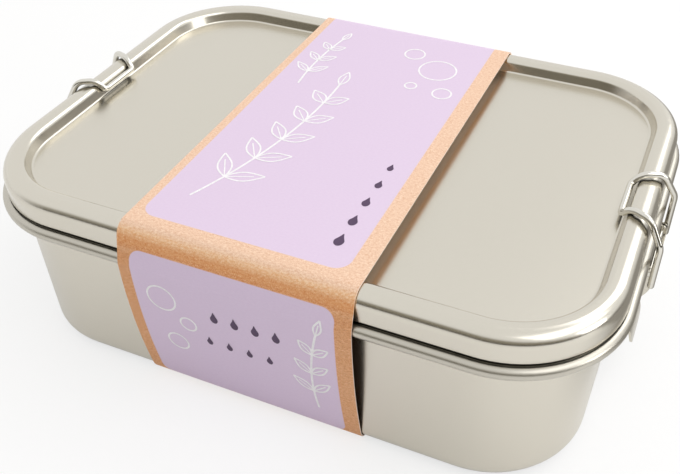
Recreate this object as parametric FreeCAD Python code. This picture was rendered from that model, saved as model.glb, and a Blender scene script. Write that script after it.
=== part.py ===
import FreeCAD, Part
import math
import os

V = FreeCAD.Vector

# Driving sizes, in millimetres

# Plan of the lid, measured on the outside of its skirt
lid_length = 194.0
lid_width = 138.6
corner_radius = 32.4

# Steel sheet
sheet = 0.6

# Tray
tray_height = 55.3
tray_inset_bottom = 2.3
tray_shelf = 0.8
tray_end_shelf = 3.6
floor_radius = 5.0
bead_radius = 2.0
bead_height = 49.45
bead_overhang = 2.1

# Lid
lid_fit = 0.35
skirt_gap = 1.1
skirt_length = 4.4
ridge_radius = 4.0
ridge_inner_radius = 2.0
panel_drop = 4.1
panel_fillet = 0.8
panel_slope = 20.0

# Seal
seal_fit = 0.15
seal_gap = 0.1

# Card sleeve
card = 0.45
card_fit = 0.3
sleeve_width = 72.0
sleeve_shift = -2.7
sleeve_bow_radius = 220.0

# Latches
wire = 2.0
wire_fit = 0.5
bail_bar = 15.4
bail_bar_bend = 1.5
bail_bend = 4.5
bail_foot = 1.5
bail_inner_angle = 140.0
bail_top_angle = 86.0
bail_outer_angle = 29.0
bail_end_drop = 2.7
lever_sheet = 0.8
lever_width = 23.6
lever_ear = 1.7
lever_ear_drop = 10.0
lever_waist_gap = 2.2
lever_waist_drop = 16.4
lever_tab_width = 16.0
lever_tab_flare = 4.4
lever_tab_round = 6.5
lever_drop = 35.6
latch_fit = 0.3
pin_drop = 4.0
pin_reach = 2.4
pin_radius = 0.75
pin_fit = 0.1
bracket_sheet = 0.8
bracket_foot = 9.0
bracket_fit = 0.4

# Contents
wipe_count = 12
wipe_crown = 2.4
wipe_gap = 0.3
wipe_head = 8.4
contents_fit = 0.3
row_end_gap = 14.0
row_front_gap = 13.4
finger_room = 34.3
bottle_radius = 22.0
bottle_shoulder = 12.0
bottle_wall = 1.0
bottle_end_gap = 23.0
bottle_nose_gap = 31.5
bottle_back_gap = 2.0
bottle_row_gap = 6.4
neck_radius = 9.0
neck_length = 11.0
collar_wall = 1.6
collar_length = 12.5
spout_length = 9.0
spout_root = 6.0
spout_tip = 3.2
spout_bore = 1.2
tip_wall = 1.2
tip_length = 13.0
thread_fit = 0.2

# Places worked out from the sizes; an offset is measured outwards from the lid's skirt
half_length = lid_length / 2
half_width = lid_width / 2
floor_z = card + card_fit
rim_z = floor_z + tray_height
bead_z = floor_z + bead_height
bead_offset = bead_overhang - bead_radius
skirt_z = bead_z + bead_radius + skirt_gap
ridge_z = skirt_z + skirt_length
ridge_offset = -ridge_radius
crest_z = ridge_z + ridge_radius
panel_z = crest_z - panel_drop
neck_offset = -(sheet + lid_fit)
pin_offset = pin_reach
pin_z = bead_z - bead_radius - pin_drop
arm_offset = bead_offset + bead_radius + wire_fit + wire / 2
arm_y = lever_width / 2 + latch_fit + wire / 2


def place_front(offset, z):
    """A point of the section at the middle of the front side."""
    return V(0, -(half_width + offset), z)


def place_end(offset, z, y=0.0):
    """A point beside the right-hand end."""
    return V(half_length + offset, y, z)


def line(a, b):
    return Part.makeLine(a, b)


def arc(a, middle, b):
    return Part.Arc(a, middle, b).toShape()


def polar(centre, radius, degrees):
    """Offset and height of a point on a circle of the section."""
    turn = math.radians(degrees)
    return centre[0] + radius * math.cos(turn), centre[1] + radius * math.sin(turn)


def section_arc(place, centre, radius, start, end):
    """An arc of the section from one angle to another, in degrees."""
    ends = [place(*polar(centre, radius, a)) for a in (start, (start + end) / 2, end)]
    return arc(*ends)


def polygon(points):
    return Part.makePolygon(points + [points[0]])


def rounded_plan(offset, z, inset=0.0):
    """The closed plan outline at an offset from the lid's skirt, with both ends drawn in by inset."""
    a = half_length + offset - inset
    b = half_width + offset
    r = corner_radius + offset
    k = r * (1 - math.sqrt(0.5))
    return Part.Wire([
        line(V(0, -b, z), V(a - r, -b, z)),
        arc(V(a - r, -b, z), V(a - k, -b + k, z), V(a, -b + r, z)),
        line(V(a, -b + r, z), V(a, b - r, z)),
        arc(V(a, b - r, z), V(a - k, b - k, z), V(a - r, b, z)),
        line(V(a - r, b, z), V(-a + r, b, z)),
        arc(V(-a + r, b, z), V(-a + k, b - k, z), V(-a, b - r, z)),
        line(V(-a, b - r, z), V(-a, -b + r, z)),
        arc(V(-a, -b + r, z), V(-a + k, -b + k, z), V(-a + r, -b, z)),
        line(V(-a + r, -b, z), V(0, -b, z)),
    ])


def swept_ring(edges, inset=0.0):
    """A section at the middle of the front side, carried round the plan; inset draws in both ends."""
    section = Part.Face(Part.Wire(Part.__sortEdges__(edges)))
    x = half_length - inset - corner_radius
    y = half_width - corner_radius
    up = V(0, 0, 1)
    front_end = section.translated(V(x, 0, 0))
    front = front_end.extrude(V(-2 * x, 0, 0))
    right_corner = front_end.revolve(V(x, -y, 0), up, 90)
    right_start = front_end.copy()
    right_start.rotate(V(x, -y, 0), up, 90)
    right = right_start.extrude(V(0, 2 * y, 0))
    back_corner = right_start.translated(V(0, 2 * y, 0)).revolve(V(x, y, 0), up, 90)
    half = [front, right_corner, right, back_corner]
    other = [piece.copy() for piece in half]
    for piece in other:
        piece.rotate(V(0, 0, 0), up, 180)
    return fused(*half, *other)


def plate(offset, z, thickness, inset=0.0):
    return Part.Face(rounded_plan(offset, z, inset)).extrude(V(0, 0, thickness))


def fused(first, *others):
    return first.fuse(list(others)).removeSplitter()


def largest_solid(shape):
    return max(shape.Solids, key=lambda s: s.Volume)


# Tray: floor, drafted wall, a shelf that is broader at the ends, pressed bead and the neck inside the lid

bead_centre = (bead_offset, bead_z)
bead_angle = math.degrees(math.acos((neck_offset - bead_offset) / bead_radius))
shelf_z = bead_z - math.sqrt(bead_radius ** 2 - (bead_offset - neck_offset) ** 2)
wall_top_z = shelf_z - sheet
wall_top_offset = neck_offset - tray_shelf
end_inset = tray_end_shelf - tray_shelf
wall_lean = math.atan((tray_inset_bottom + wall_top_offset) / (wall_top_z - floor_z))


def wall_offset(z):
    """Offset of the outside of the long walls."""
    return wall_top_offset - (wall_top_z - z) * math.tan(wall_lean)


def end_wall_offset(z):
    """Offset of the outside of the end walls."""
    return wall_offset(z) - end_inset


floor_centre = (
    wall_offset(floor_z + floor_radius) - floor_radius / math.cos(wall_lean),
    floor_z + floor_radius,
)


def wall_side(depth):
    """Edges of one face of the sheet, from the floor to the shelf."""
    lean = -math.degrees(wall_lean)
    radius = floor_radius - depth
    foot = place_front(floor_centre[0], floor_z + depth)
    knee = place_front(*polar(floor_centre, radius, lean))
    top = place_front(wall_top_offset - depth, wall_top_z)
    return foot, top, [section_arc(place_front, floor_centre, radius, -90, lean), line(knee, top)]


def rim_side(depth):
    """Edges of one face of the sheet, from the shelf over the bead to the top of the neck."""
    reach = bead_radius - depth
    foot = place_front(neck_offset - depth, shelf_z)
    under = place_front(neck_offset - depth, shelf_z + depth / 2)
    low = place_front(*polar(bead_centre, reach, -bead_angle))
    high = place_front(*polar(bead_centre, reach, bead_angle))
    over = place_front(neck_offset - depth, 2 * bead_z - shelf_z - depth / 2)
    top = place_front(neck_offset - depth, rim_z)
    edges = [section_arc(place_front, bead_centre, reach, -bead_angle, bead_angle), line(over, top)]
    if depth:
        edges += [line(foot, under), line(under, low), line(high, over)]
    return foot, top, edges


def sheet_ring(side, inset=0.0):
    """A ring of sheet between the two faces that side gives."""
    outer_foot, outer_top, outer = side(0)
    inner_foot, inner_top, inner = side(sheet)
    ends = [line(outer_foot, inner_foot), line(outer_top, inner_top)]
    return swept_ring(outer + inner + ends, inset)


def make_tray():
    shelf = plate(neck_offset, wall_top_z, sheet)
    opening = plate(wall_top_offset - sheet, wall_top_z, sheet, end_inset)
    floor = plate(floor_centre[0], floor_z, sheet, end_inset)
    return fused(sheet_ring(wall_side, end_inset), shelf.cut(opening), sheet_ring(rim_side), floor)


# Lid: skirt, ridge with a rounded outer and a tighter inner edge, sloping inner wall and sunk panel

ridge_centre = (ridge_offset, ridge_z)
ridge_end_angle = 180 - panel_slope
fillet_z = panel_z + panel_fillet
ridge_flat = (ridge_radius - ridge_inner_radius) * math.tan(math.radians(90 - panel_slope) / 2)
inner_centre = (ridge_offset - ridge_flat, crest_z - ridge_inner_radius)
slope_start = polar(inner_centre, ridge_inner_radius + panel_fillet, ridge_end_angle)
fillet_centre = (
    slope_start[0] - (slope_start[1] - fillet_z) * math.tan(math.radians(panel_slope)),
    fillet_z,
)


def lid_side(depth):
    """Edges of one face of the sheet, from the skirt's foot to the panel's edge."""
    inner_radius = ridge_inner_radius - depth
    foot = place_front(-depth, skirt_z)
    shoulder = place_front(-depth, ridge_z)
    crest = place_front(ridge_offset, crest_z - depth)
    inner_crest = place_front(inner_centre[0], crest_z - depth)
    slope_top = place_front(*polar(inner_centre, inner_radius, ridge_end_angle))
    slope_foot = place_front(*polar(fillet_centre, panel_fillet + depth, -panel_slope))
    edges = [
        line(foot, shoulder),
        section_arc(place_front, ridge_centre, ridge_radius - depth, 0, 90),
        line(crest, inner_crest),
        section_arc(place_front, inner_centre, inner_radius, 90, ridge_end_angle),
        line(slope_top, slope_foot),
        section_arc(place_front, fillet_centre, panel_fillet + depth, -panel_slope, -90),
    ]
    return foot, place_front(fillet_centre[0], panel_z - depth), edges


def make_lid():
    return fused(sheet_ring(lid_side), plate(fillet_centre[0], panel_z - sheet, sheet))


# Seal: a soft ring in the channel under the ridge, standing on the tray's neck

def make_seal():
    radius = ridge_radius - sheet - seal_fit
    foot_z = rim_z + seal_gap
    right = place_front(ridge_offset + radius, ridge_z)
    left = place_front(ridge_offset - radius, ridge_z)
    right_foot = place_front(ridge_offset + radius, foot_z)
    left_foot = place_front(ridge_offset - radius, foot_z)
    crown = section_arc(place_front, ridge_centre, radius, 0, 180)
    return swept_ring([
        crown,
        line(left, left_foot),
        line(left_foot, right_foot),
        line(right_foot, right),
    ])


# Sleeve: a closed band of card round lid and tray

def tangent_angle(upper, upper_radius, lower, lower_radius):
    """Angle of the normal of the outer line that touches two circles of the section."""
    run = lower[0] - upper[0]
    drop = lower[1] - upper[1]
    distance = math.hypot(run, drop)
    along = math.degrees(math.atan2(drop, run))
    swing = math.degrees(math.asin((upper_radius - lower_radius) / distance))
    return along + 90 - swing


def bowed_link(upper, upper_radius, lower, lower_radius, bow):
    """Centre and end angles of the arc of radius bow that touches two circles from outside."""
    reach_upper = bow - upper_radius
    reach_lower = bow - lower_radius
    run = lower[0] - upper[0]
    drop = lower[1] - upper[1]
    distance = math.hypot(run, drop)
    along = (reach_upper ** 2 - reach_lower ** 2 + distance ** 2) / (2 * distance)
    aside = math.sqrt(reach_upper ** 2 - along ** 2)
    unit = (run / distance, drop / distance)
    inward = (unit[1], -unit[0])
    centre = (
        upper[0] + along * unit[0] + aside * inward[0],
        upper[1] + along * unit[1] + aside * inward[1],
    )
    start = math.degrees(math.atan2(upper[1] - centre[1], upper[0] - centre[0]))
    end = math.degrees(math.atan2(lower[1] - centre[1], lower[0] - centre[0]))
    return centre, start, end


def sleeve_outline(depth, x):
    """The closed loop of one face of the card; depth is 0 inside and the card's thickness outside."""
    ridge = ridge_radius + card_fit
    bead = bead_radius + card_fit
    base = floor_radius + card_fit
    shoulder = tangent_angle(ridge_centre, ridge, bead_centre, bead)
    bow_centre, bow_start, bow_end = bowed_link(
        bead_centre, bead, floor_centre, base, sleeve_bow_radius)
    edges = []
    corners = []
    for side in (-1, 1):
        def place(offset, z):
            return V(x, side * (half_width + offset), z)
        upper = place(*polar(ridge_centre, ridge + depth, shoulder))
        lower = place(*polar(bead_centre, bead + depth, shoulder))
        edges.append(section_arc(place, ridge_centre, ridge + depth, 90, shoulder))
        edges.append(line(upper, lower))
        edges.append(section_arc(place, bead_centre, bead + depth, shoulder, bow_start))
        edges.append(section_arc(place, bow_centre, sleeve_bow_radius + depth, bow_start, bow_end))
        edges.append(section_arc(place, floor_centre, base + depth, bow_end, -90))
        corners.append(place(ridge_offset, crest_z + card_fit + depth))
        corners.append(place(floor_centre[0], floor_z - card_fit - depth))
    edges.append(line(corners[0], corners[2]))
    edges.append(line(corners[1], corners[3]))
    return Part.Wire(Part.__sortEdges__(edges))


def make_sleeve():
    start = sleeve_shift - sleeve_width / 2
    run = V(sleeve_width, 0, 0)
    outer = Part.Face(sleeve_outline(card, start)).extrude(run)
    inner = Part.Face(sleeve_outline(0, start)).extrude(run)
    return outer.cut(inner)


# Latch at the right-hand end; the left one is its mirror image

def end_plate(points, y_low, y_high):
    """A plate square to Y from points given as offset and height."""
    outline = polygon([place_end(o, z, y_low) for o, z in points])
    return Part.Face(outline).extrude(V(0, y_high - y_low, 0))


def cross_pin(offset, z, radius, y_low, y_high):
    return Part.makeCylinder(radius, y_high - y_low, place_end(offset, z, y_low), V(0, 1, 0))


def make_bracket():
    """A foot on the tray's end wall with two ears that hold the pin."""
    half = lever_width / 2 - lever_sheet - bracket_fit
    ear_radius = pin_radius + bracket_sheet
    top_z = pin_z + ear_radius
    low_z = pin_z - bracket_foot
    foot = end_plate([
        (end_wall_offset(low_z), low_z),
        (end_wall_offset(low_z) + bracket_sheet, low_z),
        (end_wall_offset(top_z) + bracket_sheet, top_z),
        (end_wall_offset(top_z), top_z),
    ], -half, half)
    ears = []
    for y in (-half, half - bracket_sheet):
        ear = end_plate([
            (end_wall_offset(low_z), low_z),
            (pin_offset, pin_z - ear_radius),
            (pin_offset, top_z),
            (end_wall_offset(top_z), top_z),
        ], y, y + bracket_sheet)
        ears.append(ear.fuse(cross_pin(pin_offset, pin_z, ear_radius, y, y + bracket_sheet)))
    bore = cross_pin(pin_offset, pin_z, pin_radius, -half, half)
    return fused(foot, *ears).cut(bore)


def make_pin():
    half = lever_width / 2
    return cross_pin(pin_offset, pin_z, pin_radius, -half, half)


def lever_line():
    """Offset and height of the outer face of the lever's plate, from the pin down to the tip."""
    web = pin_offset + lever_ear
    waist_z = pin_z - lever_waist_drop
    waist = end_wall_offset(waist_z) + lever_waist_gap + lever_sheet
    tip_z = pin_z - lever_drop
    knee = (web + waist) / 2
    return [
        (web, pin_z),
        (web, pin_z - lever_ear_drop / 2),
        (knee, pin_z - lever_ear_drop),
        (waist, waist_z),
        (waist, waist_z + (tip_z - waist_z) / 3),
        (waist + lever_tab_flare, waist_z + (tip_z - waist_z) * 2 / 3),
        (waist + lever_tab_flare, tip_z),
    ]


def make_lever():
    """A pressed plate with a finger tab, and two side ears on the pin."""
    half = lever_width / 2
    face = [place_end(o, z, -half) for o, z in lever_line()]
    curve = Part.BSplineCurve()
    curve.buildFromPoles(face, False, 2)
    shift = V(-lever_sheet, 0, 0)
    back = Part.BSplineCurve()
    back.buildFromPoles([p + shift for p in face], False, 2)
    ends = [line(face[0], face[0] + shift), line(face[-1], face[-1] + shift)]
    outline = Part.Wire(Part.__sortEdges__([curve.toShape(), back.toShape()] + ends))
    web = Part.Face(outline).extrude(V(0, lever_width, 0))
    web = web.common(lever_window())
    ears = []
    for y in (-half, half - lever_sheet):
        ear = end_plate([
            (pin_offset, pin_z + lever_ear),
            (pin_offset - lever_ear, pin_z),
            (pin_offset - lever_ear / 2, pin_z - lever_ear_drop / 2),
            (lever_line()[2][0] - lever_sheet / 2, pin_z - lever_ear_drop),
            (pin_offset + lever_ear - lever_sheet / 2, pin_z - lever_ear_drop / 2),
            (pin_offset + lever_ear - lever_sheet / 2, pin_z),
        ], y, y + lever_sheet)
        ears.append(ear.fuse(cross_pin(pin_offset, pin_z, lever_ear, y, y + lever_sheet)))
    bore = cross_pin(pin_offset, pin_z, pin_radius + pin_fit, -half, half)
    return fused(web, *ears).cut(bore)


def lever_window():
    """The plate's outline as seen from the end: broad below the pin, then a tab with a rounded tip."""
    half = lever_width / 2
    tab = lever_tab_width / 2
    top = pin_z - lever_ear
    knee = pin_z - lever_ear_drop
    waist = pin_z - lever_waist_drop
    low = pin_z - lever_drop
    r = lever_tab_round
    k = r * (1 - math.sqrt(0.5))
    x = half_length + end_wall_offset(low)
    edges = [line(V(x, -half, top), V(x, half, top)), line(V(x, r - tab, low), V(x, tab - r, low))]
    for side in (-1, 1):
        edges.append(line(V(x, side * half, top), V(x, side * half, knee)))
        edges.append(line(V(x, side * half, knee), V(x, side * tab, waist)))
        edges.append(line(V(x, side * tab, waist), V(x, side * tab, low + r)))
        edges.append(arc(
            V(x, side * tab, low + r), V(x, side * (tab - k), low + k), V(x, side * (tab - r), low)))
    outline = Part.Wire(Part.__sortEdges__(edges))
    return Part.Face(outline).extrude(V(corner_radius, 0, 0))


bail_reach = ridge_radius + wire_fit + wire / 2
bail_end_z = pin_z - bail_end_drop
bail_inner = polar(ridge_centre, bail_reach, bail_inner_angle)
bail_axis = polar(bail_inner, bail_foot, bail_inner_angle + 90)


def tangent_corner(first, second):
    """Where two lines that touch the wire's circle round the ridge meet; the angles are their normals."""
    half_turn = math.radians(first - second) / 2
    return polar(ridge_centre, bail_reach / math.cos(half_turn), (first + second) / 2)


def bail_arm(side):
    """Corners of one arm, from its free end over the ridge to the cross bar."""
    inside = tangent_corner(bail_inner_angle, bail_top_angle)
    outside = tangent_corner(bail_top_angle, bail_outer_angle)
    slope_end = outside[1] - (arm_offset - outside[0]) / math.tan(math.radians(bail_outer_angle))
    corners = [(arm_offset, bail_end_z), (arm_offset, slope_end), outside, inside, bail_axis]
    splay = (arm_y - bail_bar / 2) / (arm_offset - bail_axis[0])
    return [place_end(o, z, side * (bail_bar / 2 + (o - bail_axis[0]) * splay)) for o, z in corners]


def rounded_path(corners, radii):
    """Lines through corners, joined by arcs of the given radii."""
    edges = []
    start = corners[0]
    for before, corner, after, radius in zip(corners, corners[1:], corners[2:], radii):
        arrive = (corner - before).normalize()
        leave = (after - corner).normalize()
        half_turn = arrive.getAngle(leave) / 2
        trim = radius * math.tan(half_turn)
        first = corner - arrive * trim
        last = corner + leave * trim
        inward = (leave - arrive).normalize()
        middle = corner + inward * (radius / math.cos(half_turn) - radius)
        edges.append(line(start, first))
        edges.append(arc(first, middle, last))
        start = last
    edges.append(line(start, corners[-1]))
    return Part.Wire(edges)


def make_bail():
    """A bent wire: a cross bar inside the ridge and a splayed arm at each end of it."""
    corners = bail_arm(-1) + bail_arm(1)[::-1]
    arm_radii = [bail_bend] * 3 + [bail_bar_bend]
    path = rounded_path(corners, arm_radii + arm_radii[::-1])
    ring = Part.Wire(Part.makeCircle(wire / 2, corners[0], V(0, 0, 1)))
    tube = path.makePipeShell([ring], True, True)
    balls = [Part.makeSphere(wire / 2, end) for end in (corners[0], corners[-1])]
    return fused(tube, *balls)


# Contents: a row of folded wipes and a bottle lying beside them

inside_z = floor_z + sheet
back_wall_y = half_width + wall_offset(floor_z + floor_radius + bottle_radius) - sheet
bottle_y = back_wall_y - bottle_back_gap - bottle_radius
bottle_z = inside_z + contents_fit + bottle_radius
row_low_z = inside_z + contents_fit
row_length = lid_length - 2 * end_inset - row_end_gap - finger_room
row_front_y = row_front_gap - half_width
wipe_thickness = (row_length - (wipe_count - 1) * wipe_gap) / wipe_count
wipe_width = bottle_y - bottle_radius - bottle_row_gap - row_front_y
wipe_height = rim_z - wipe_head - row_low_z
wipe_fold = (wipe_thickness - wipe_crown) / 2


def make_wipe(index):
    """One folded cloth standing on its edges, with its fold upwards."""
    x = row_end_gap + end_inset - half_length + index * (wipe_thickness + wipe_gap)
    block = Part.makeBox(wipe_thickness, wipe_width, wipe_height, V(x, row_front_y, row_low_z))
    top = row_low_z + wipe_height
    folds = [e for e in block.Edges if abs(e.CenterOfMass.z - top) < 0.01 and is_along_y(e)]
    return block.makeFillet(wipe_fold, folds)


def is_along_y(edge):
    start, end = (v.Point for v in edge.Vertexes)
    return abs(start.x - end.x) < 0.01 and abs(start.z - end.z) < 0.01


def turned(points):
    """A solid of revolution on the bottle's axis, from points given as length and radius."""
    base = bottle_end_gap + end_inset - half_length
    outline = polygon([V(base + s, bottle_y, bottle_z + r) for s, r in points])
    return Part.Face(outline).revolve(V(0, bottle_y, bottle_z), V(1, 0, 0), 360)


nose_length = bottle_shoulder + collar_length + tip_length + 2 * thread_fit
bottle_body = lid_length - 2 * end_inset - bottle_end_gap - bottle_nose_gap - nose_length
bottle_top = bottle_body + bottle_shoulder + neck_length
collar_start = bottle_body + bottle_shoulder + thread_fit
collar_end = collar_start + collar_length
spout_end = collar_end + spout_length


def make_bottle():
    """A round bottle with a sloping shoulder and an open neck."""
    inner = bottle_radius - bottle_wall
    bore = neck_radius - bottle_wall
    return turned([
        (0, 0),
        (0, bottle_radius - bottle_wall),
        (bottle_wall, bottle_radius),
        (bottle_body, bottle_radius),
        (bottle_body + bottle_shoulder, neck_radius),
        (bottle_top, neck_radius),
        (bottle_top, bore),
        (bottle_body + bottle_shoulder, bore),
        (bottle_body, inner),
        (bottle_wall, inner),
        (bottle_wall, 0),
    ])


def make_closure():
    """A screwed collar that narrows to a bored spout."""
    inside = neck_radius + thread_fit
    roof = bottle_top + thread_fit
    return turned([
        (collar_start, inside),
        (collar_start, inside + collar_wall),
        (collar_end, inside + collar_wall),
        (collar_end, spout_root),
        (spout_end, spout_tip),
        (spout_end, spout_bore),
        (roof, spout_bore),
        (roof, inside),
    ])


def make_spout_cap():
    """A pull-off cap over the spout."""
    start = collar_end + thread_fit
    end = start + tip_length
    root = spout_root + thread_fit
    tip = spout_tip + thread_fit
    floor = spout_end + thread_fit
    return turned([
        (start, root),
        (start, root + tip_wall),
        (end, tip + tip_wall),
        (end, 0),
        (floor, 0),
        (floor, tip),
    ])


def mirrored(shape):
    return shape.mirror(V(0, 0, 0), V(1, 0, 0))


def export(name, shape):
    solid = largest_solid(shape)
    solid.exportStep("parts/" + name + ".step")
    box = solid.BoundBox
    corners = [round(v, 2) for v in (box.XMin, box.XMax, box.YMin, box.YMax, box.ZMin, box.ZMax)]
    print(name, "solids", len(shape.Solids), "valid", solid.isValid(), round(solid.Volume, 1), corners)


def main():
    os.makedirs("parts", exist_ok=True)
    export("tray", make_tray())
    export("lid", make_lid())
    export("lid_seal", make_seal())
    export("card_sleeve", make_sleeve())
    latch = {
        "latch_bracket": make_bracket(),
        "lever_pin": make_pin(),
        "latch_lever": make_lever(),
        "wire_bail": make_bail(),
    }
    for name, shape in latch.items():
        export(name + "_right", shape)
        export(name + "_left", mirrored(shape))
    for index in range(wipe_count):
        export(f"wipe_{index + 1:02d}", make_wipe(index))
    export("lotion_bottle", make_bottle())
    export("bottle_closure", make_closure())
    export("spout_cap", make_spout_cap())
    print("pin", half_length + pin_offset, pin_z)
    print("bail axis", half_length + bail_axis[0], bail_axis[1])
    print("bottle axis", bottle_y, bottle_z)


main()
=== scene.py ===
import math
import random

import bmesh
import bpy
from mathutils import Matrix, Vector


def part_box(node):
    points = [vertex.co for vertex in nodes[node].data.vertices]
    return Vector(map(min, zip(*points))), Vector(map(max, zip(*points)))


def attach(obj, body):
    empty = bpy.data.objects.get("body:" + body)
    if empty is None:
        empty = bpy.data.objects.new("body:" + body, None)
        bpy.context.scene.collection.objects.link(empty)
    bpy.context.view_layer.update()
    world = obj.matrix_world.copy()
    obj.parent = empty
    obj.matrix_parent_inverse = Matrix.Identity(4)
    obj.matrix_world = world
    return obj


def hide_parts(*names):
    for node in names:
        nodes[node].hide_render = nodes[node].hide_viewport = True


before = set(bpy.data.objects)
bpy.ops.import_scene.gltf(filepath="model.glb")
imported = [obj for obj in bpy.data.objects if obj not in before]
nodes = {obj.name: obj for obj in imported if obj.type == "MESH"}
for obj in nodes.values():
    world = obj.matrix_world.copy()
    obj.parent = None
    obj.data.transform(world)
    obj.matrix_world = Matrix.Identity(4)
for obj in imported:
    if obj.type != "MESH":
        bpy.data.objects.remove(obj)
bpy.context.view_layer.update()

# Named sizes are in millimetres, and the scene is in metres
MM = 0.001
scene = bpy.context.scene


# Colours

WHITE = (1.0, 1.0, 1.0, 1.0)


def rgb(r, g, b):
    """A linear colour from screen values of 0 to 255."""
    def line(v):
        v /= 255
        return v / 12.92 if v <= 0.04045 else ((v + 0.055) / 1.055) ** 2.4
    return (line(r), line(g), line(b), 1.0)


def darkened(colour, share):
    """A share of a colour's light."""
    return tuple(c * share for c in colour[:3]) + (1.0,)


# Node helpers

# The Mix node's colour sockets share their names with others, so they go by number
MIX_A = 6
MIX_B = 7
MIX_RESULT = 2
OPENNESS_SAMPLES = 8


def new_material(name):
    material = bpy.data.materials.new(name)
    material.use_nodes = True
    tree = material.node_tree
    tree.nodes.clear()
    output = tree.nodes.new("ShaderNodeOutputMaterial")
    shader = tree.nodes.new("ShaderNodeBsdfPrincipled")
    tree.links.new(shader.outputs["BSDF"], output.inputs["Surface"])
    return material, tree, shader


def link(tree, source, target):
    """Puts a socket's value, or a constant, on an input."""
    if isinstance(source, (int, float, tuple)):
        target.default_value = source
    else:
        tree.links.new(source, target)


def maths(tree, operation, a, b=0.0, clamp=False):
    node = tree.nodes.new("ShaderNodeMath")
    node.operation = operation
    node.use_clamp = clamp
    link(tree, a, node.inputs[0])
    link(tree, b, node.inputs[1])
    return node.outputs[0]


def times(tree, a, b):
    return maths(tree, "MULTIPLY", a, b)


def larger(tree, a, b):
    return maths(tree, "MAXIMUM", a, b)


def raised(tree, base, value, spread):
    """A level that a value of 0 to 1 raises by up to a spread."""
    return maths(tree, "ADD", base, times(tree, value, spread))


def blend_colour(tree, factor, a, b, kind="MIX"):
    node = tree.nodes.new("ShaderNodeMix")
    node.data_type = "RGBA"
    node.blend_type = kind
    link(tree, factor, node.inputs[0])
    link(tree, a, node.inputs[MIX_A])
    link(tree, b, node.inputs[MIX_B])
    return node.outputs[MIX_RESULT]


def ramp(tree, factor, low, high):
    """Maps a value from low..high to 0..1, held at both ends."""
    node = tree.nodes.new("ShaderNodeMapRange")
    link(tree, factor, node.inputs[0])
    node.inputs[1].default_value = low
    node.inputs[2].default_value = high
    return node.outputs[0]


def fade(tree, height, start, end):
    """Goes from 0 to 1 between two heights in millimetres."""
    return ramp(tree, height, start * MM, end * MM)


def band(tree, height, low, low_full, high_full, high):
    """1 between the two full heights, in millimetres, and fading to 0 past each."""
    return times(tree, fade(tree, height, low, low_full), fade(tree, height, high, high_full))


def noise(tree, vector, scale, detail=3.0, roughness=0.55):
    node = tree.nodes.new("ShaderNodeTexNoise")
    tree.links.new(vector, node.inputs["Vector"])
    node.inputs["Scale"].default_value = scale
    node.inputs["Detail"].default_value = detail
    node.inputs["Roughness"].default_value = roughness
    return node.outputs[0]


def object_point(tree):
    return tree.nodes.new("ShaderNodeTexCoord").outputs["Object"]


def stretched(tree, vector, scale):
    node = tree.nodes.new("ShaderNodeMapping")
    tree.links.new(vector, node.inputs["Vector"])
    node.inputs["Scale"].default_value = scale
    return node.outputs[0]


def split(tree, vector):
    node = tree.nodes.new("ShaderNodeSeparateXYZ")
    tree.links.new(vector, node.inputs[0])
    return node.outputs


def light_path(tree):
    return tree.nodes.new("ShaderNodeLightPath").outputs


def openness(tree, reach):
    """How open a point lies within a reach in metres: 0 deep in a crevice, 1 in the open."""
    node = tree.nodes.new("ShaderNodeAmbientOcclusion")
    node.samples = OPENNESS_SAMPLES
    node.inputs["Distance"].default_value = reach
    return node.outputs["AO"]


def bump(tree, shader, height, strength, distance):
    """Roughens a shader's surface; the distance is in metres."""
    node = tree.nodes.new("ShaderNodeBump")
    node.inputs["Strength"].default_value = strength
    node.inputs["Distance"].default_value = distance
    tree.links.new(height, node.inputs["Height"])
    tree.links.new(node.outputs[0], shader.inputs["Normal"])


def mix_shaders(tree, share, first, second):
    """The first shader, with a share of the second."""
    node = tree.nodes.new("ShaderNodeMixShader")
    tree.links.new(share, node.inputs[0])
    tree.links.new(first.outputs[0], node.inputs[1])
    tree.links.new(second.outputs[0], node.inputs[2])
    return node.outputs[0]


# Steel

STEEL = rgb(216, 211, 199)
WIRE = rgb(222, 219, 210)
# Colour of the shade painted into crevices
PAINTED_CREVICE_SHADE = rgb(18, 15, 12)
ROLLED_GRAIN = (60, 900, 900)
DRAWN_GRAIN = (300, 300, 300)
# How much the grain lines and the clouds vary the roughness, and the tone of a grain line
LINE_SPREAD = 0.09
CLOUD_SPREAD = 0.05
LINE_TONE = 0.93
# Heights between which the lid's skirt and ridge, and the tray's bead, have a finish of their own, and where
# the tray's bead is darkened by painted shade
LID_BANDS = [(52.0, 57.3), (57.9, 63.0)]
TRAY_BANDS = [(48.2, 52.6)]
BAND_FADE = 0.25


def in_bands(tree, height, bands):
    """1 within the bands, fading out across their ends."""
    share = 0.0
    for low, high in bands:
        inside = band(tree, height, low - BAND_FADE, low + BAND_FADE, high - BAND_FADE, high + BAND_FADE)
        share = larger(tree, inside, share)
    return share


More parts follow.
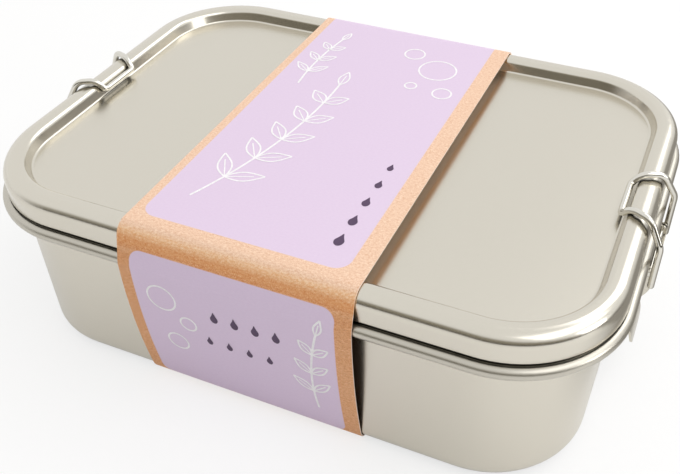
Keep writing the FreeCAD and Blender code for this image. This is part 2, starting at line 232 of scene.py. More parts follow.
def steel(name, rough, bands=(), band_rough=0.0, band_shade=1.0, tint=STEEL, grain=ROLLED_GRAIN, reach=0.003):
    """Sheet or wire with a fine grain, with shade painted dark into its crevices; reach, in metres, is how
    far their walls count.
    """
    material, tree, shader = new_material(name)
    point = object_point(tree)
    lines = noise(tree, stretched(tree, point, grain), scale=14.0, detail=4.0, roughness=0.7)
    cloud = noise(tree, point, scale=45.0, detail=2.0)
    rough = raised(tree, rough - (LINE_SPREAD + CLOUD_SPREAD) / 2, lines, LINE_SPREAD)
    rough = raised(tree, rough, cloud, CLOUD_SPREAD)
    shade = blend_colour(tree, ramp(tree, lines, low=0.3, high=0.7), tint, darkened(tint, LINE_TONE))
    if bands:
        inside = in_bands(tree, split(tree, point)[2], bands)
        rough = raised(tree, rough, maths(tree, "SUBTRACT", band_rough, rough), inside)
        # Painted shade: the bands darken to a share of the tint when the band shade is below 1
        if band_shade < 1.0:
            shade = blend_colour(tree, inside, shade, darkened(tint, band_shade))
    # Painted shade: crevices darkened by how closed in they lie
    crevice = ramp(tree, openness(tree, reach), low=0.45, high=0.1)
    shade = blend_colour(tree, crevice, shade, PAINTED_CREVICE_SHADE)
    tree.links.new(rough, shader.inputs["Roughness"])
    tree.links.new(shade, shader.inputs["Base Color"])
    shader.inputs["Metallic"].default_value = 1.0
    bump(tree, shader, lines, strength=0.015, distance=0.00002)
    return material


lid_steel = steel("lid_steel", rough=0.25, bands=LID_BANDS, band_rough=0.21)
# The tray's bead darkened by painted shade
tray_steel = steel("tray_steel", rough=0.25, bands=TRAY_BANDS, band_rough=0.32, band_shade=0.78, reach=0.006)
latch_steel = steel("latch_steel", rough=0.24)
wire_steel = steel("wire_steel", rough=0.11, tint=WIRE, grain=DRAWN_GRAIN)


# Soft pieces and plastics

SOFT_ROUGH_SPREAD = 0.1
# How much coarser the clouds are than the grain
CLOUD_COARSER = 25


def soft_material(name, low, high, scale, rough, depth):
    """A mottled material between two colours, with a grain of the given scale and depth."""
    material, tree, shader = new_material(name)
    point = object_point(tree)
    grain = noise(tree, point, scale, detail=4.0, roughness=0.7)
    cloud = noise(tree, point, scale / CLOUD_COARSER, detail=2.0)
    average = times(tree, maths(tree, "ADD", grain, cloud), 0.5)
    colour = blend_colour(tree, ramp(tree, average, low=0.35, high=0.65), low, high)
    tree.links.new(colour, shader.inputs["Base Color"])
    level = raised(tree, rough - SOFT_ROUGH_SPREAD / 2, cloud, SOFT_ROUGH_SPREAD)
    tree.links.new(level, shader.inputs["Roughness"])
    bump(tree, shader, grain, strength=0.5, distance=depth)
    return material


cloth = soft_material(
    "terry_cloth", rgb(214, 204, 218), rgb(240, 234, 241), scale=1400.0, rough=0.9, depth=0.0006)
rubber = soft_material(
    "clear_silicone", rgb(222, 222, 218), rgb(236, 236, 232), scale=500.0, rough=0.42, depth=0.00002)
bottle_plastic = soft_material(
    "bottle_plastic", rgb(234, 232, 227), rgb(243, 241, 237), scale=300.0, rough=0.38, depth=0.00002)
cap_plastic = soft_material(
    "cap_plastic", rgb(196, 172, 206), rgb(205, 183, 214), scale=300.0, rough=0.25, depth=0.00001)


def paint(material, *names):
    for name in names:
        mesh = nodes[name].data
        mesh.materials.clear()
        mesh.materials.append(material)


paint(lid_steel, "lid")
paint(tray_steel, "tray")
paint(latch_steel, "latch_bracket_left", "latch_bracket_right", "latch_lever_left", "latch_lever_right")
paint(wire_steel, "wire_bail_left", "wire_bail_right", "lever_pin_left", "lever_pin_right")
paint(rubber, "lid_seal")
paint(bottle_plastic, "lotion_bottle")
paint(cap_plastic, "bottle_closure", "spout_cap")


# Sleeve: the card's section, as in the model, followed round as one line

SLEEVE_LEFT = -38.7
SLEEVE_RIGHT = 33.3
HALF_WIDTH = 69.3
CARD = 0.45
# Arcs of the section that touch the ridge, the bead and the foot: offset from the half width, height, radius
RIDGE = (-4.0, 57.7, 4.3)
BEAD = (0.1, 50.2, 2.3)
FOOT = (-7.242, 5.75, 5.3)
# Radius of the card's bow from the bead down to the foot
BOW = 220.0
# Steps across the card, and along each stretch of the section
STATIONS = 48
TOP_STEPS = 24
RIDGE_STEPS = 10
BEAD_STEPS = 8
BOW_STEPS = 40
FOOT_STEPS = 14
UNDER_STEPS = 30
# Edges that bend by more than this, in radians, stay sharp
SHARP = 0.7
# The card's plan holds millimetres across and round it, with the inner face and the cut edges moved far off
INNER_FACE = 500.0
CUT_EDGE = 1000.0


def arc_points(centre, radius, start, end, count):
    turns = [math.radians(start + (end - start) * i / count) for i in range(count + 1)]
    return [(centre[0] + radius * math.cos(t), centre[1] + radius * math.sin(t)) for t in turns]


def bearing(start, end):
    """The angle, in degrees, of the way from one point to another."""
    return math.degrees(math.atan2(end[1] - start[1], end[0] - start[0]))


def bow_centre():
    """The centre of the bow, which runs smoothly out of the bead's arc and into the foot's."""
    run, drop = FOOT[0] - BEAD[0], FOOT[1] - BEAD[1]
    far = math.hypot(run, drop)
    to_bead, to_foot = BOW - BEAD[2], BOW - FOOT[2]
    along = (to_bead ** 2 - to_foot ** 2 + far ** 2) / (2 * far)
    aside = math.sqrt(to_bead ** 2 - along ** 2)
    way = (run / far, drop / far)
    return (BEAD[0] + along * way[0] + aside * way[1], BEAD[1] + along * way[1] - aside * way[0])


def front_section(depth):
    """Offset and height down the front, from the crest to the start of the flat bottom."""
    lean = math.degrees(math.asin((RIDGE[2] - BEAD[2]) / math.dist(RIDGE[:2], BEAD[:2])))
    shoulder = bearing(RIDGE, BEAD) + 90 - lean
    centre = bow_centre()
    start, end = bearing(centre, BEAD), bearing(centre, FOOT)
    points = arc_points(RIDGE, RIDGE[2] + depth, 90, shoulder, RIDGE_STEPS)
    points += arc_points(BEAD, BEAD[2] + depth, shoulder, start, BEAD_STEPS)
    points += arc_points(centre, BOW + depth, start, end, BOW_STEPS)[1:-1]
    points += arc_points(FOOT, FOOT[2] + depth, end, -90, FOOT_STEPS)
    return points


def sleeve_loop(depth):
    """The whole loop as (y, z), from the middle of the top forwards, down, under and up the back."""
    front = [(-(HALF_WIDTH + offset), z) for offset, z in front_section(depth)]
    back = [(-y, z) for y, z in reversed(front)]
    top_y, top_z = front[0]
    low_y, low_z = front[-1]
    top_front = [(top_y * i / TOP_STEPS, top_z) for i in range(TOP_STEPS)]
    under = [(low_y - 2 * low_y * i / UNDER_STEPS, low_z) for i in range(1, UNDER_STEPS)]
    top_back = [(-top_y * (1 - i / TOP_STEPS), top_z) for i in range(1, TOP_STEPS)]
    return top_front + front + under + back + top_back


outer_loop = sleeve_loop(CARD)
inner_loop = sleeve_loop(0.0)
# The way round the outer face, in millimetres, to each point of the loop and back to the first
way_round = [0.0]
for here, there in zip(outer_loop, outer_loop[1:] + outer_loop[:1]):
    way_round.append(way_round[-1] + math.dist(here, there))


def on_sleeve(x, s, lift):
    """A point lifted off the card's outer face, s millimetres round from the middle of the top."""
    s %= way_round[-1]
    i = max(k for k in range(len(outer_loop)) if way_round[k] <= s)
    a = outer_loop[i]
    b = outer_loop[(i + 1) % len(outer_loop)]
    t = (s - way_round[i]) / max(way_round[i + 1] - way_round[i], 1e-9)
    y, z = a[0] + (b[0] - a[0]) * t, a[1] + (b[1] - a[1]) * t
    length = math.dist(a, b)
    normal = ((b[1] - a[1]) / length, -(b[0] - a[0]) / length)
    return Vector((x, y + normal[0] * lift, z + normal[1] * lift)) * MM


def round_at_height(z):
    """How far round the front the outer face comes down to a height."""
    for i, (a, b) in enumerate(zip(outer_loop, outer_loop[1:])):
        if b[1] <= z < a[1]:
            return way_round[i] + (way_round[i + 1] - way_round[i]) * (a[1] - z) / (a[1] - b[1])


def sleeve_mesh():
    mesh = bpy.data.meshes.new("card_sleeve_print")
    shape = bmesh.new()
    plan = shape.loops.layers.uv.new("plan")
    across = [SLEEVE_LEFT + (SLEEVE_RIGHT - SLEEVE_LEFT) * i / STATIONS for i in range(STATIONS + 1)]
    outer, inner = (
        [[shape.verts.new((x * MM, y * MM, z * MM)) for y, z in loop] for x in across]
        for loop in (outer_loop, inner_loop))

    def face(corners, places):
        made = shape.faces.new(corners)
        made.smooth = True
        for loop, place in zip(made.loops, places):
            loop[plan].uv = place

    rows = len(outer_loop)
    for i in range(STATIONS):
        x0, x1 = across[i], across[i + 1]
        u0, u1 = x0 + INNER_FACE, x1 + INNER_FACE
        for j in range(rows):
            k = (j + 1) % rows
            s0, s1 = way_round[j], way_round[j + 1]
            face([outer[i][j], outer[i][k], outer[i + 1][k], outer[i + 1][j]],
                 [(x0, s0), (x0, s1), (x1, s1), (x1, s0)])
            face([inner[i][j], inner[i + 1][j], inner[i + 1][k], inner[i][k]],
                 [(u0, s0), (u1, s0), (u1, s1), (u0, s1)])
    for i, x in ((0, SLEEVE_LEFT), (STATIONS, SLEEVE_RIGHT)):
        for j in range(rows):
            k = (j + 1) % rows
            s0, s1 = way_round[j] + 2 * CUT_EDGE, way_round[j + 1] + 2 * CUT_EDGE
            face([outer[i][j], inner[i][j], inner[i][k], outer[i][k]],
                 [(x, s0), (x + CARD, s0), (x + CARD, s1), (x, s1)])
    bmesh.ops.recalc_face_normals(shape, faces=shape.faces)
    for edge in shape.edges:
        if len(edge.link_faces) == 2 and edge.calc_face_angle(0.0) > SHARP:
            edge.smooth = False
    shape.to_mesh(mesh)
    shape.free()
    return mesh


# Card: kraft with two printed panels

# Dark and pale fibres of the plain card, and of the painted shade low on its sides, the painted light on its
# top and the painted highlight along the bend between them
KRAFT = (rgb(220, 152, 92), rgb(250, 210, 172))
KRAFT_SIDE_PAINTED_SHADE = (rgb(186, 112, 54), rgb(226, 154, 96))
KRAFT_TOP_PAINTED_LIGHT = (rgb(224, 192, 170), rgb(250, 228, 212))
KRAFT_BEND_PAINTED_HIGHLIGHT = (rgb(242, 180, 122), rgb(255, 226, 188))
KRAFT_CLOUD = rgb(248, 206, 168)
KRAFT_SPECK = rgb(196, 122, 66)
KRAFT_FLECK = rgb(253, 232, 212)
KRAFT_WORN = rgb(222, 166, 120)
# Painted shade multiplied into the lower part of the bend
KRAFT_BEND_PAINTED_SHADE = (0.86, 0.63, 0.44, 1.0)
# The cut edges: pale card, whitened further as a painted highlight
KRAFT_CUT_PALE_AND_HIGHLIGHT = rgb(255, 250, 244)
# The inner face: painted light under the top, a strip of painted bounce light near the right edge and
# painted shade down the sides
INSIDE_TOP_PAINTED_LIGHT = rgb(255, 236, 224)
INSIDE_STRIP_PAINTED_LIGHT = rgb(255, 190, 126)
INSIDE_SIDE_PAINTED_SHADE = rgb(84, 58, 42)
LILAC = (rgb(219, 199, 224), rgb(226, 208, 230))
# Heights at which each tone fades in, or fades in and out again, and its share
# Painted shade on the sides, less of it low down, painted light on the top, a painted highlight along the
# bend and painted shade under it
SIDE_SHADE_FADE = (58.0, 54.0)
SIDE_SHADE_SHARE = 0.6
LOW_SIDE_FADE = (53.0, 46.0)
LOW_SIDE_LESS = 0.18
TOP_LIGHT_FADE = (60.6, 61.9)
TOP_LIGHT_SHARE = 0.6
BEND_HIGHLIGHT_BAND = (55.5, 58.0, 61.2, 62.2)
BEND_HIGHLIGHT_SHARE = 0.6
BEND_SHADE_BAND = (55.5, 57.0, 59.0, 61.1)
BEND_SHADE_SHARE = 1.08
FLECK_LESS = 0.55
WORN_FADE = (59.5, 61.5)
WORN_SHARE = 0.4
CLOUD_SHARE = 0.45
INSIDE_SHADE_FADE = (58.0, 51.5)
# Where the orange strip of painted bounce light on the inner face starts and is full, from the right edge
STRIP_START = 2.2
STRIP_FULL = 1.0
CARD_ROUGH = 0.86
INK_SMOOTHER = 0.24
# Panels: left and right ends, corner radius, and how far round the card or how high they end
TOP_PANEL = (-35.8, 27.6)
TOP_PANEL_CORNER = 4.5
TOP_PANEL_FRONT = 62.3
TOP_PANEL_BACK = 70.0 - way_round[-1] / 2
FRONT_PANEL = (-34.8, 28.4)
FRONT_PANEL_CORNER = 4.0
FRONT_PANEL_TOP = 56.3
FRONT_PANEL_FOOT = 2.6
PANEL_BLUR = 0.12
front_top = round_at_height(FRONT_PANEL_TOP)


def panel_ink(tree, u, v, sides, start, end, radius):
    """1 inside a rounded rectangle of the card's plan, in millimetres, else 0."""
    def beyond(value, low, high):
        centre = maths(tree, "SUBTRACT", value, (low + high) / 2)
        out = maths(tree, "SUBTRACT", maths(tree, "ABSOLUTE", centre), (high - low) / 2 - radius)
        return larger(tree, out, 0.0)
    du = beyond(u, *sides)
    dv = beyond(v, start, end)
    square = maths(tree, "ADD", times(tree, du, du), times(tree, dv, dv))
    edge = maths(tree, "SQRT", square)
    return ramp(tree, edge, radius + PANEL_BLUR, radius - PANEL_BLUR)


def all_panels_ink(tree, u, v):
    """The front panel, and the top one, which runs on down the back past the start of the way round."""
    foot = round_at_height(FRONT_PANEL_FOOT)
    ink = panel_ink(tree, u, v, FRONT_PANEL, front_top, foot, FRONT_PANEL_CORNER)
    for lap in (0.0, way_round[-1]):
        start, end = TOP_PANEL_BACK + lap, TOP_PANEL_FRONT + lap
        ink = larger(tree, panel_ink(tree, u, v, TOP_PANEL, start, end, TOP_PANEL_CORNER), ink)
    return ink


def plain_kraft(tree, where, grain, specks, flecks):
    cloud = noise(tree, stretched(tree, where, (0.5, 1.0, 1.0)), scale=0.14, detail=4.0)
    kraft = blend_colour(tree, grain, *KRAFT)
    clouded = times(tree, ramp(tree, cloud, low=0.4, high=0.7), CLOUD_SHARE)
    kraft = blend_colour(tree, clouded, kraft, KRAFT_CLOUD)
    kraft = blend_colour(tree, ramp(tree, specks, low=0.54, high=0.68), kraft, KRAFT_SPECK)
    return blend_colour(tree, ramp(tree, flecks, low=0.56, high=0.72), kraft, KRAFT_FLECK)


def kraft_painted_light_and_shade(tree, kraft, height, grain, specks, flecks):
    """Painted light and shade by height: brown painted shade on the sides, a pale painted light on the top,
    a bright painted highlight along the bend and a brown painted shade under it.
    """
    sides = times(tree, fade(tree, height, *SIDE_SHADE_FADE), SIDE_SHADE_SHARE)
    less = times(tree, fade(tree, height, *LOW_SIDE_FADE), LOW_SIDE_LESS)
    sides = maths(tree, "SUBTRACT", sides, less)
    kraft = blend_colour(tree, sides, kraft, blend_colour(tree, grain, *KRAFT_SIDE_PAINTED_SHADE))
    top = times(tree, fade(tree, height, *TOP_LIGHT_FADE), TOP_LIGHT_SHARE)
    kraft = blend_colour(tree, top, kraft, blend_colour(tree, grain, *KRAFT_TOP_PAINTED_LIGHT))
    bend = times(tree, band(tree, height, *BEND_HIGHLIGHT_BAND), BEND_HIGHLIGHT_SHARE)
    kraft = blend_colour(tree, bend, kraft, blend_colour(tree, grain, *KRAFT_BEND_PAINTED_HIGHLIGHT))
    less = times(tree, ramp(tree, flecks, low=0.5, high=0.62), FLECK_LESS)
    share = maths(tree, "SUBTRACT", BEND_SHADE_SHARE, less)
    painted_bend_shade = maths(tree, "MULTIPLY", band(tree, height, *BEND_SHADE_BAND), share, clamp=True)
    kraft = blend_colour(tree, painted_bend_shade, kraft, KRAFT_BEND_PAINTED_SHADE, "MULTIPLY")
    worn = times(tree, fade(tree, height, *WORN_FADE), ramp(tree, specks, low=0.5, high=0.62))
    return blend_colour(tree, times(tree, worn, WORN_SHARE), kraft, KRAFT_WORN)


def inner_card_painted_light(tree, u, height):
    """Painted light and shade: pale painted light under the top, an orange strip of painted bounce light
    near the right edge, and dark painted shade down the sides.
    """
    edge = INNER_FACE + SLEEVE_RIGHT
    strip = ramp(tree, u, edge - STRIP_START, edge - STRIP_FULL)
    inside = blend_colour(tree, strip, INSIDE_TOP_PAINTED_LIGHT, INSIDE_STRIP_PAINTED_LIGHT)
    return blend_colour(tree, fade(tree, height, *INSIDE_SHADE_FADE), inside, INSIDE_SIDE_PAINTED_SHADE)


def card_material():
    material, tree, shader = new_material("kraft_card")
    plan = tree.nodes.new("ShaderNodeUVMap")
    plan.uv_map = "plan"
    where = plan.outputs[0]
    u, v, _ = split(tree, where)
    height = split(tree, object_point(tree))[2]
    fibres = noise(tree, stretched(tree, where, (0.7, 1.2, 1.0)), scale=1.5, detail=5.0, roughness=0.75)
    specks = noise(tree, stretched(tree, where, (0.8, 1.6, 1.0)), scale=3.0, roughness=0.6)
    flecks = noise(tree, stretched(tree, where, (1.6, 0.6, 1.0)), scale=2.6, roughness=0.6)
    grain = ramp(tree, fibres, low=0.36, high=0.64)
    kraft = plain_kraft(tree, where, grain, specks, flecks)
    # The cut edges, pale card partly whitened as a painted highlight
    kraft = blend_colour(tree, maths(tree, "GREATER_THAN", v, CUT_EDGE), kraft, KRAFT_CUT_PALE_AND_HIGHLIGHT)
    # Painted light and shade on the card by height
    kraft = kraft_painted_light_and_shade(tree, kraft, height, grain, specks, flecks)
    on_inside = maths(tree, "GREATER_THAN", u, INNER_FACE / 2)
    # The inner face, with its painted light and shade
    kraft = blend_colour(tree, on_inside, kraft, inner_card_painted_light(tree, u, height))
    ink = all_panels_ink(tree, u, v)
    lilac = blend_colour(tree, ramp(tree, fibres, low=0.25, high=0.8), *LILAC)
    tree.links.new(blend_colour(tree, ink, kraft, lilac), shader.inputs["Base Color"])
    rough = maths(tree, "SUBTRACT", CARD_ROUGH, times(tree, ink, INK_SMOOTHER))
    tree.links.new(rough, shader.inputs["Roughness"])
    bump(tree, shader, fibres, strength=0.25, distance=0.00006)
    return material


def add_piece(name, mesh, material):
    mesh.materials.append(material)
    piece = bpy.data.objects.new(name, mesh)
    scene.collection.objects.link(piece)
    return piece


sleeve = add_piece("card_sleeve_print", sleeve_mesh(), card_material())
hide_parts("card_sleeve")
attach(sleeve, "sleeve")


# Printed motifs: leaf sprigs, rings and drops, laid on the card

STEM_LINE = 0.7
LEAF_LINE = 0.55
VEIN_LINE = 0.4
RING_LINE = 0.6
RING_STEPS = 40
LEAF_STEPS = 14
DROP_STEPS = 24
# Steps of a stem from one pair of leaves to the next, and how far, in radians, a leaf turns off its stem
PAIR_STEPS = 4
LEAF_TURN = 0.85
# Shares of a leaf's length or of a sprig's leaf size
LEAF_TAPER = 0.35
VEIN_SHARE = 0.72
LEAF_SPREAD = 0.2
LAST_PAIR_LESS = 0.4
END_LEAF_SIZE = 0.7
END_LEAF_SPREAD = 0.16
# Shares of a drop's size: half its width and height, and how much its point is pinched in and drawn out
DROP_WIDTH = 0.62
DROP_HEIGHT = 0.8
DROP_PINCH = 0.55
DROP_POINT = 0.75
# Marks lie on a few levels in turn, so that neighbours that cross don't share one
PRINT_LIFT = 0.03
PRINT_LEVEL = 0.004
PRINT_LEVELS = 9
INK_DARK = 0.9
# Drops in the line on the top and in each row on the front, and their pitches
LINE_DROPS = 5
LINE_PITCH = 9.0
ROW_DROPS = 4
ROW_PITCH = 6.5


def ink_material(name, colour):
    material, tree, shader = new_material(name)
    grain = ramp(tree, noise(tree, object_point(tree), scale=900.0), low=0.35, high=0.65)
    shade = blend_colour(tree, grain, darkened(colour, INK_DARK), colour)
    tree.links.new(shade, shader.inputs["Base Color"])
    shader.inputs["Roughness"].default_value = 0.62
    return material


def decal(name, marks, material):
    """Flat inked shapes; each mark is a list of convex patches with (x, s) corners."""
    mesh = bpy.data.meshes.new(name)
    shape = bmesh.new()
    for number, patches in enumerate(marks):
        lift = PRINT_LIFT + PRINT_LEVEL * (number % PRINT_LEVELS)
        for outline in patches:
            shape.faces.new([shape.verts.new(on_sleeve(x, s, lift)) for x, s in outline])
    shape.to_mesh(mesh)
    shape.free()
    piece = add_piece(name, mesh, material)
    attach(piece, "sleeve")


def stroke(points, width):
    """One mitred strip of the given width along a line."""
    closed = math.dist(points[0], points[-1]) < 1e-6
    sides = []
    for i, (x, s) in enumerate(points):
        before = points[i - 1] if i else (points[-2] if closed else points[0])
        after = points[i + 1] if i + 1 < len(points) else (points[1] if closed else points[-1])
        half = width / 2 / math.dist(before, after)
        nx, ns = -(after[1] - before[1]) * half, (after[0] - before[0]) * half
        sides.append(((x + nx, s + ns), (x - nx, s - ns)))
    return [[a[0], a[1], b[1], b[0]] for a, b in zip(sides, sides[1:])]


def ring(x, s, radius):
    turns = [2 * math.pi * i / RING_STEPS for i in range(RING_STEPS + 1)]
    return [stroke([(x + radius * math.cos(t), s + radius * math.sin(t)) for t in turns], RING_LINE)]


def leaf(x, s, length, spread, angle):
    """A leaf drawn as two bowed edges and a vein."""
    cos, sin = math.cos(angle), math.sin(angle)
    edges = []
    for side in (1, -1):
        line = []
        for i in range(LEAF_STEPS + 1):
            t = i / LEAF_STEPS
            along, aside = length * t, side * spread * math.sin(math.pi * t) * (1 - LEAF_TAPER * t)
            line.append((x + along * cos - aside * sin, s + along * sin + aside * cos))
        edges.append(stroke(line, LEAF_LINE))
    vein = VEIN_SHARE * length
    return edges + [stroke([(x, s), (x + vein * cos, s + vein * sin)], VEIN_LINE)]


def sprig(x, s, length, angle, bend, pairs, size):
    """A bowed stem with leaves in pairs, smaller towards its tip, and one leaf at its end."""
    leaves = []
    stem = []
    steps = PAIR_STEPS * pairs
    step = length / steps
    for i in range(steps + 1):
        stem.append((x, s))
        if i % PAIR_STEPS == 0 and 0 < i < steps:
            leaf_length = size * (1 - LAST_PAIR_LESS * i / steps)
            for side in (1, -1):
                leaves += leaf(x, s, leaf_length, size * LEAF_SPREAD, angle + side * LEAF_TURN)
        angle += bend / steps
        x += step * math.cos(angle)
        s += step * math.sin(angle)
    end_leaf = leaf(*stem[-1], size * END_LEAF_SIZE, size * END_LEAF_SPREAD, angle)
    return [stroke(stem, STEM_LINE)] + leaves + end_leaf


def drop(x, s, size):
    """A solid drop with its point up, as a fan of three-cornered patches."""
    rim = []
    for i in range(DROP_STEPS):
        t = 2 * math.pi * i / DROP_STEPS
        up = max(-math.sin(t), 0.0)
        rim.append((x + size * DROP_WIDTH * math.cos(t) * (1 - DROP_PINCH * up ** 2),
                    s + size * DROP_HEIGHT * math.sin(t) * (1 + DROP_POINT * up ** 4)))
    return [[[(x, s), a, b] for a, b in zip(rim, rim[1:] + rim[:1])]]


def white_marks():
    """Sprigs and rings, placed across the card and round it."""
    marks = sprig(-27.0, 50.0, length=74.0, angle=-1.15, bend=-0.45, pairs=6, size=13.0)
    marks += sprig(-27.0, -18.0, length=34.0, angle=-1.7, bend=0.3, pairs=4, size=8.5)
    for x, s, radius in ((14.0, -44.0, 6.5), (2.5, -52.0, 3.6), (20.5, -30.0, 3.2), (9.0, -31.0, 2.0)):
        marks += ring(x, s, radius)
    marks += sprig(21.0, front_top + 44.0, length=34.0, angle=-1.7, bend=0.35, pairs=4, size=8.5)
    for x, s, radius in ((-26.0, 15.0, 4.6), (-18.5, 23.0, 2.6), (-24.0, 33.0, 3.4)):
        marks += ring(x, front_top + s, radius)
    return marks


def purple_marks():
    """A line of drops on the top, and two rows on the front."""
    marks = []
    for i in range(LINE_DROPS):
        marks += drop(21.0, 52.0 - LINE_PITCH * i, size=2.4 - 0.2 * i)
    for i in range(ROW_DROPS):
        marks += drop(-9.0 + ROW_PITCH * i, front_top + 17.0, size=2.0)
        marks += drop(-12.2 + ROW_PITCH * i, front_top + 28.0, size=1.6)
    return marks


decal("sleeve_white_print", white_marks(), ink_material("white_ink", rgb(250, 248, 251)))
decal("sleeve_purple_print", purple_marks(), ink_material("purple_ink", rgb(84, 62, 92)))


# Wipes: each a strip of thick cloth folded in four, with its folds upwards

WIPES = 12
PLIES = 4
PLY = 2.4
PLY_PITCH = 2.8
PLY_STEPS = 10
TURN_STEPS = 6
WIPE_STATIONS = 24
# Room that the cloth leaves inside its block
FOOT_ROOM = 0.05
TOP_ROOM = 0.1
END_ROOM = 0.2
# How far the cloth sways and sags, and, in radians, its waves from end to end and how far chance moves them
SWAY = 0.1
SLOW_SWAY = 5
FAST_SWAY = 11
SWAY_START = 3
SAG = 0.35
SAG_WAVE = 7
SAG_START = 5
SEED = 7


def fold_line(low, high):
    """The middle line of a strip folded in four, as (across, up), in millimetres."""
    turn = PLY_PITCH / 2
    top, foot = high - PLY / 2 - turn, low + PLY / 2 + turn
    line = []
    for ply in range(PLIES):
        rising = ply % 2 == 0
        across = (ply - (PLIES - 1) / 2) * PLY_PITCH
        bottom = low if ply in (0, PLIES - 1) else foot
        start, end = (bottom, top) if rising else (top, bottom)
        line += [(across, start + (end - start) * i / PLY_STEPS) for i in range(PLY_STEPS + 1)]
        if ply < PLIES - 1:
            sign = 1 if rising else -1
            for i in range(1, TURN_STEPS):
                t = math.pi * i / TURN_STEPS
                line.append((across + turn * (1 - math.cos(t)), end + sign * turn * math.sin(t)))
    return line


def thickened(line):
    """The outline of a ply's thickness about a line, up one side and back down the other."""
    one, other = [], []
    for i, (x, z) in enumerate(line):
        a, b = line[max(i - 1, 0)], line[min(i + 1, len(line) - 1)]
        half = PLY / 2 / math.dist(a, b)
        nx, nz = (b[1] - a[1]) * half, -(b[0] - a[0]) * half
        one.append((x + nx, z + nz))
        other.append((x - nx, z - nz))
    return one + other[::-1]


def cloth_mesh(name, outline, low, high, width, chance):
    """The outline drawn through its block from end to end, swaying and sagging a little."""
    slow, slow_start, fast, fast_start = (chance.uniform(-1, 1) for _ in range(4))
    middle = (low.x + high.x) / 2
    shape = bmesh.new()
    rows = []
    for j in range(WIPE_STATIONS + 1):
        t = j / WIPE_STATIONS
        y = low.y + END_ROOM + width * t
        sway = slow * math.sin(SLOW_SWAY * t + SWAY_START * slow_start)
        sway += fast * math.sin(FAST_SWAY * t + SWAY_START * fast_start)
        sag = SAG * (1 + math.sin(SAG_WAVE * t + SAG_START * slow_start))
        row = []
        for x, z in outline:
            rise = (z - low.z) / (high.z - low.z)
            place = (middle + x + SWAY * sway, y, z - sag * rise ** 3)
            row.append(shape.verts.new([c * MM for c in place]))
        rows.append(row)
    size = len(outline)
    for a, b in zip(rows, rows[1:]):
        for k in range(size):
            shape.faces.new([a[k], a[(k + 1) % size], b[(k + 1) % size], b[k]])
    for row in (rows[0], rows[-1]):
        for k in range(size // 2 - 1):
            shape.faces.new([row[k], row[k + 1], row[size - 2 - k], row[size - 1 - k]])
    bmesh.ops.recalc_face_normals(shape, faces=shape.faces)
    for face in shape.faces:
        face.smooth = True
    mesh = bpy.data.meshes.new(name)
    shape.to_mesh(mesh)
    shape.free()
    return mesh


def build_wipe(number, chance):
    node = f"wipe_{number:02d}"
    low, high = (Vector(corner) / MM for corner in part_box(node))
    line = fold_line(low.z + FOOT_ROOM, high.z - TOP_ROOM)
    width = high.y - low.y - 2 * END_ROOM
    name = node + "_cloth"
    piece = add_piece(name, cloth_mesh(name, thickened(line), low, high, width, chance), cloth)
    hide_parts(node)
    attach(piece, "box")


chance = random.Random(SEED)
for number in range(1, WIPES + 1):
    build_wipe(number, chance)


# Floor, world, lamps and camera; places here are in metres

FLOOR_SIZE = 6.0
FLOOR_HEIGHT = -0.0003
FLOOR_TONES = (rgb(246, 246, 246), rgb(251, 251, 251))
# Shares of plain white in the floor that is seen and in the floor that the steel mirrors
SEEN_WHITE = 0.72
MIRRORED_WHITE = 0.2
# The steel mirrors a dark floor at the right end, more so farther back
DARK_FLOOR = rgb(112, 106, 95)
DARK_FLOOR_SHARE = 0.6
DARK_FLOOR_SIDE = (0.095, 0.12)
DARK_FLOOR_DEPTH = (-0.06, 0.0)
SKY_LOW = (0.15, 0.15, 0.15, 1.0)
SKY_HIGH = (1.0, 0.99, 0.97, 1.0)
SKY_STRENGTH = 1.1
# The sky goes from low to high between these levels, and is higher to the back by a share
SKY_RANGE = (-0.1, 0.95)
SKY_TO_BACK = 0.35
# The steel mirrors a dark horizon round the front and the right, darkest low down
HORIZON_HIGH = rgb(150, 144, 130)
HORIZON_LOW = rgb(66, 62, 52)
HORIZON_TONES = (0.28, 0.04)
HORIZON_EDGE = (0.26, 0.0)
# It stands higher to the front by a share, and fades out between these levels towards the back and the left
HORIZON_TO_FRONT = 0.45
HORIZON_TO_RIGHT = 0.9
HORIZON_ENDS = (-0.6, 0.3)
# Name, place, the point it faces, width and height, and watts
LAMPS = (
    ("key_lamp", (0.50, 0.90, 0.94), (0, 0, 0.04), (0.60, 0.85), 3.0),
    ("side_lamp", (0.58, -0.08, 0.77), (0, 0, 0.05), (0.95, 0.5), 1.9),
    ("fill_lamp", (0.78, -0.04, 0.28), (0, 0, 0.04), (0.3, 0.3), 0.8),
)
# The camera fitted to the photograph: place in millimetres, angles in radians
EYE = (101.247, -212.593, 215.151)
AZIMUTH = 0.409
ELEVATION = 0.694
ROLL = -0.007
LENS = 46.55
SENSOR = 36.0
SHIFT_X = -0.0521
SHIFT_Y = -0.0091
CLIP_START = 0.005


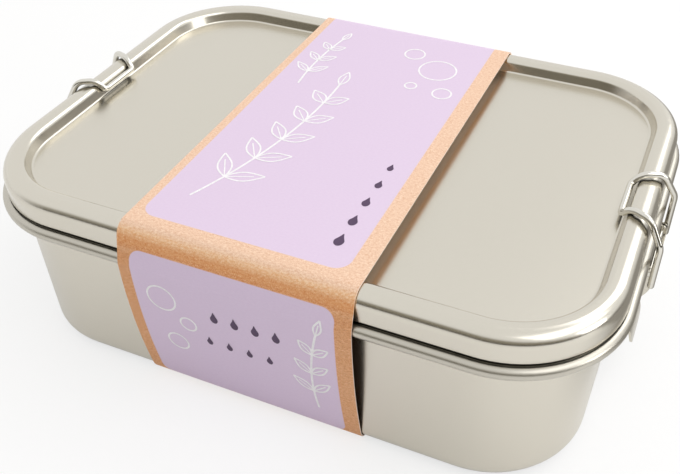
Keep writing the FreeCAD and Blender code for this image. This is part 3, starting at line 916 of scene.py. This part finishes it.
def build_floor():
    """A pale floor that takes shadows, close to white where it is seen."""
    bpy.ops.mesh.primitive_plane_add(size=FLOOR_SIZE, location=(0, 0, FLOOR_HEIGHT))
    floor = bpy.context.object
    floor.name = "floor"
    material, tree, shader = new_material("pale_floor")
    point = object_point(tree)
    tone = blend_colour(tree, noise(tree, point, scale=6.0), *FLOOR_TONES)
    tree.links.new(tone, shader.inputs["Base Color"])
    shader.inputs["Roughness"].default_value = 0.9
    rays = light_path(tree)
    mirrored = rays["Is Glossy Ray"]
    side, depth, _ = split(tree, point)
    dark = times(tree, ramp(tree, side, *DARK_FLOOR_SIDE), ramp(tree, depth, *DARK_FLOOR_DEPTH))
    dark = times(tree, dark, mirrored)
    plain = tree.nodes.new("ShaderNodeEmission")
    tree.links.new(blend_colour(tree, dark, WHITE, DARK_FLOOR), plain.inputs["Color"])
    seen = larger(tree, rays["Is Camera Ray"], rays["Is Transmission Ray"])
    share = raised(tree, times(tree, mirrored, MIRRORED_WHITE), dark, DARK_FLOOR_SHARE)
    share = larger(tree, times(tree, seen, SEEN_WHITE), share)
    output = next(node for node in tree.nodes if node.type == "OUTPUT_MATERIAL")
    tree.links.new(mix_shaders(tree, share, shader, plain), output.inputs["Surface"])
    floor.data.materials.append(material)


def add_lamp(name, place, aim, size, power):
    data = bpy.data.lights.new(name, "AREA")
    data.shape = "RECTANGLE"
    data.size, data.size_y = size
    data.energy = power
    lamp = bpy.data.objects.new(name, data)
    scene.collection.objects.link(lamp)
    lamp.location = place
    lamp.rotation_euler = (Vector(aim) - Vector(place)).to_track_quat("-Z", "Y").to_euler()


def build_world():
    """Soft light from above and behind, with a white backdrop for what is seen or mirrored."""
    world = bpy.data.worlds.new("studio")
    scene.world = world
    world.use_nodes = True
    tree = world.node_tree
    tree.nodes.clear()
    output = tree.nodes.new("ShaderNodeOutputWorld")
    side, depth, height = split(tree, tree.nodes.new("ShaderNodeTexCoord").outputs["Generated"])
    rays = light_path(tree)
    soft = tree.nodes.new("ShaderNodeBackground")
    level = ramp(tree, raised(tree, height, depth, SKY_TO_BACK), *SKY_RANGE)
    tree.links.new(blend_colour(tree, level, SKY_LOW, SKY_HIGH), soft.inputs["Color"])
    soft.inputs["Strength"].default_value = SKY_STRENGTH
    rise = larger(tree, times(tree, depth, -HORIZON_TO_FRONT), 0.0)
    low = ramp(tree, maths(tree, "SUBTRACT", height, rise), *HORIZON_EDGE)
    front_right = maths(tree, "SUBTRACT", times(tree, side, HORIZON_TO_RIGHT), depth)
    front = times(tree, ramp(tree, front_right, *HORIZON_ENDS), rays["Is Glossy Ray"])
    horizon = blend_colour(tree, ramp(tree, height, *HORIZON_TONES), HORIZON_HIGH, HORIZON_LOW)
    backdrop = tree.nodes.new("ShaderNodeBackground")
    tree.links.new(blend_colour(tree, times(tree, low, front), WHITE, horizon), backdrop.inputs["Color"])
    seen = larger(tree, rays["Is Camera Ray"], rays["Is Glossy Ray"])
    seen = larger(tree, seen, rays["Is Transmission Ray"])
    tree.links.new(mix_shaders(tree, seen, soft, backdrop), output.inputs["Surface"])


def build_camera():
    flat = math.cos(ELEVATION)
    ahead = Vector((-math.sin(AZIMUTH) * flat, math.cos(AZIMUTH) * flat, -math.sin(ELEVATION)))
    level = ahead.cross(Vector((0, 0, 1))).normalized()
    rise = level.cross(ahead)
    right = math.cos(ROLL) * level + math.sin(ROLL) * rise
    up = math.cos(ROLL) * rise - math.sin(ROLL) * level
    data = bpy.data.cameras.new("camera")
    data.sensor_width = SENSOR
    data.lens = LENS
    data.shift_x = SHIFT_X
    data.shift_y = SHIFT_Y
    data.clip_start = CLIP_START
    camera = bpy.data.objects.new("camera", data)
    scene.collection.objects.link(camera)
    turn = Matrix((right, up, -ahead)).transposed().to_4x4()
    camera.matrix_world = Matrix.Translation(Vector(EYE) * MM) @ turn
    scene.camera = camera


build_floor()
build_world()
build_camera()
for lamp in LAMPS:
    add_lamp(*lamp)
scene.view_settings.view_transform = "Standard"
